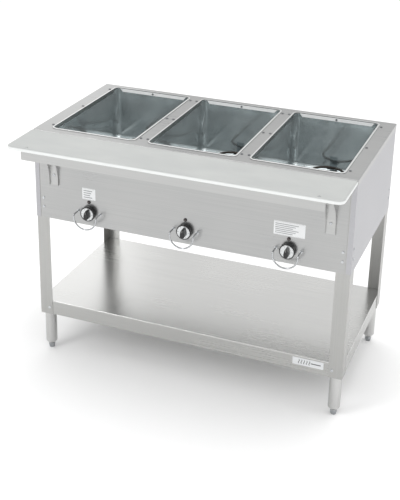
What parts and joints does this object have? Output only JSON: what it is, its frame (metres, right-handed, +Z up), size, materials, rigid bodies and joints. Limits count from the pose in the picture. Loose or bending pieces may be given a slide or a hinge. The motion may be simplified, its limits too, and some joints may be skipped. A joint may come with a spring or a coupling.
{
  "type": "electric steam table",
  "caption": "Open-base steam table: heated wells in a stainless top, rotary controls with wire guards, a carving board along the front and an undershelf on adjustable feet.",
  "frame": {"origin": "on the floor, at the middle of the whole unit's outline, carving board included", "axes": "+X to the right as the user stands at the controls, +Y away from the user towards the back, +Z up"},
  "size_m": [1.1294, 0.7542, 0.864],
  "materials": {
    "badge_foil": "brushed",
    "black_phenolic": "moulded gloss",
    "bright_dial": "spun",
    "brushed_stainless": "brushed",
    "element_sheath": "oxidised sheath",
    "fastener_stainless": "machined",
    "folded_stainless": "brushed",
    "foot_plated": "nickel plated",
    "galvanised_clip": "galvanised sheet",
    "galvanised_liner": "galvanised sheet",
    "gland_nylon": "moulded",
    "glass_fibre": "matted fibre",
    "label_film": "satin film",
    "pilot_black": "moulded gloss",
    "plated_steel": "zinc plated",
    "polished_wire": "polished",
    "switch_housing": "moulded",
    "terminal_moulding": "moulded",
    "tube_stainless": "satin",
    "welded_steel": "mill finish",
    "white_polyethylene": "fine matte",
    "wire_covering": "matte"
  },
  "bodies": {
    "cabinet": {"back_panel": "brushed_stainless", "board_bracket_left": "folded_stainless", "board_bracket_right": "folded_stainless", "board_channel": "folded_stainless", "board_pins": "fastener_stainless", "body_screws": "fastener_stainless", "bottom_pan": "brushed_stainless", "cord_gland": "gland_nylon", "cross_rails": "folded_stainless", "element_brackets": "galvanised_clip", "end_panel_left": "brushed_stainless", "end_panel_right": "brushed_stainless", "foot_inserts": "welded_steel", "front_panel": "brushed_stainless", "guard_nuts": "fastener_stainless", "heating_element_left": "element_sheath", "heating_element_middle": "element_sheath", "heating_element_right": "element_sheath", "infinite_switch_left": "switch_housing", "infinite_switch_middle": "switch_housing", "infinite_switch_right": "switch_housing", "insulation": "glass_fibre", "knob_guard_left": "polished_wire", "knob_guard_middle": "polished_wire", "knob_guard_right": "polished_wire", "leg_front_left": "tube_stainless", "leg_front_right": "tube_stainless", "leg_rear_left": "tube_stainless", "leg_rear_right": "tube_stainless", "leg_sockets": "welded_steel", "pilot_lights": "pilot_black", "rating_labels": "label_film", "shelf_badge": "badge_foil", "shelf_bolts": "fastener_stainless", "terminal_block": "terminal_moulding", "top_screws": "fastener_stainless", "top_sheet": "brushed_stainless", "undershelf": "brushed_stainless", "upright_front_left": "folded_stainless", "upright_front_right": "folded_stainless", "upright_rear_left": "folded_stainless", "upright_rear_right": "folded_stainless", "well_liner_left": "galvanised_liner", "well_liner_middle": "galvanised_liner", "well_liner_right": "galvanised_liner", "wiring_harness": "wire_covering"},
    "control_left": {"knob_left": "black_phenolic", "knob_dial_left": "bright_dial", "switch_shaft_left": "plated_steel"},
    "control_middle": {"knob_middle": "black_phenolic", "knob_dial_middle": "bright_dial", "switch_shaft_middle": "plated_steel"},
    "control_right": {"knob_right": "black_phenolic", "knob_dial_right": "bright_dial", "switch_shaft_right": "plated_steel"},
    "front_left_foot": {"foot_front_left": "foot_plated"},
    "front_right_foot": {"foot_front_right": "foot_plated"},
    "rear_left_foot": {"foot_rear_left": "foot_plated"},
    "rear_right_foot": {"foot_rear_right": "foot_plated"},
    "board": {"carving_board": "white_polyethylene"}
  },
  "joints": [
    {"name": "knob_left_turn", "type": "hinge", "parent": "cabinet", "child": "control_left", "pos_m": [-0.3556, -0.1941, 0.587], "axis": [0, -1, 0], "continuous": true},
    {"name": "knob_middle_turn", "type": "hinge", "parent": "cabinet", "child": "control_middle", "pos_m": [0, -0.1941, 0.587], "axis": [0, -1, 0], "continuous": true},
    {"name": "knob_right_turn", "type": "hinge", "parent": "cabinet", "child": "control_right", "pos_m": [0.3556, -0.1941, 0.587], "axis": [0, -1, 0], "continuous": true},
    {"name": "front_left_foot_adjust", "type": "slide", "parent": "cabinet", "child": "front_left_foot", "axis": [0, 0, -1], "range_m": [0, 0.025]},
    {"name": "front_right_foot_adjust", "type": "slide", "parent": "cabinet", "child": "front_right_foot", "axis": [0, 0, -1], "range_m": [0, 0.025]},
    {"name": "rear_left_foot_adjust", "type": "slide", "parent": "cabinet", "child": "rear_left_foot", "axis": [0, 0, -1], "range_m": [0, 0.025]},
    {"name": "rear_right_foot_adjust", "type": "slide", "parent": "cabinet", "child": "rear_right_foot", "axis": [0, 0, -1], "range_m": [0, 0.025]},
    {"name": "board_lift", "type": "slide", "parent": "cabinet", "child": "board", "axis": [0, 0, 1], "range_m": [0, 0.03]}
  ]
}
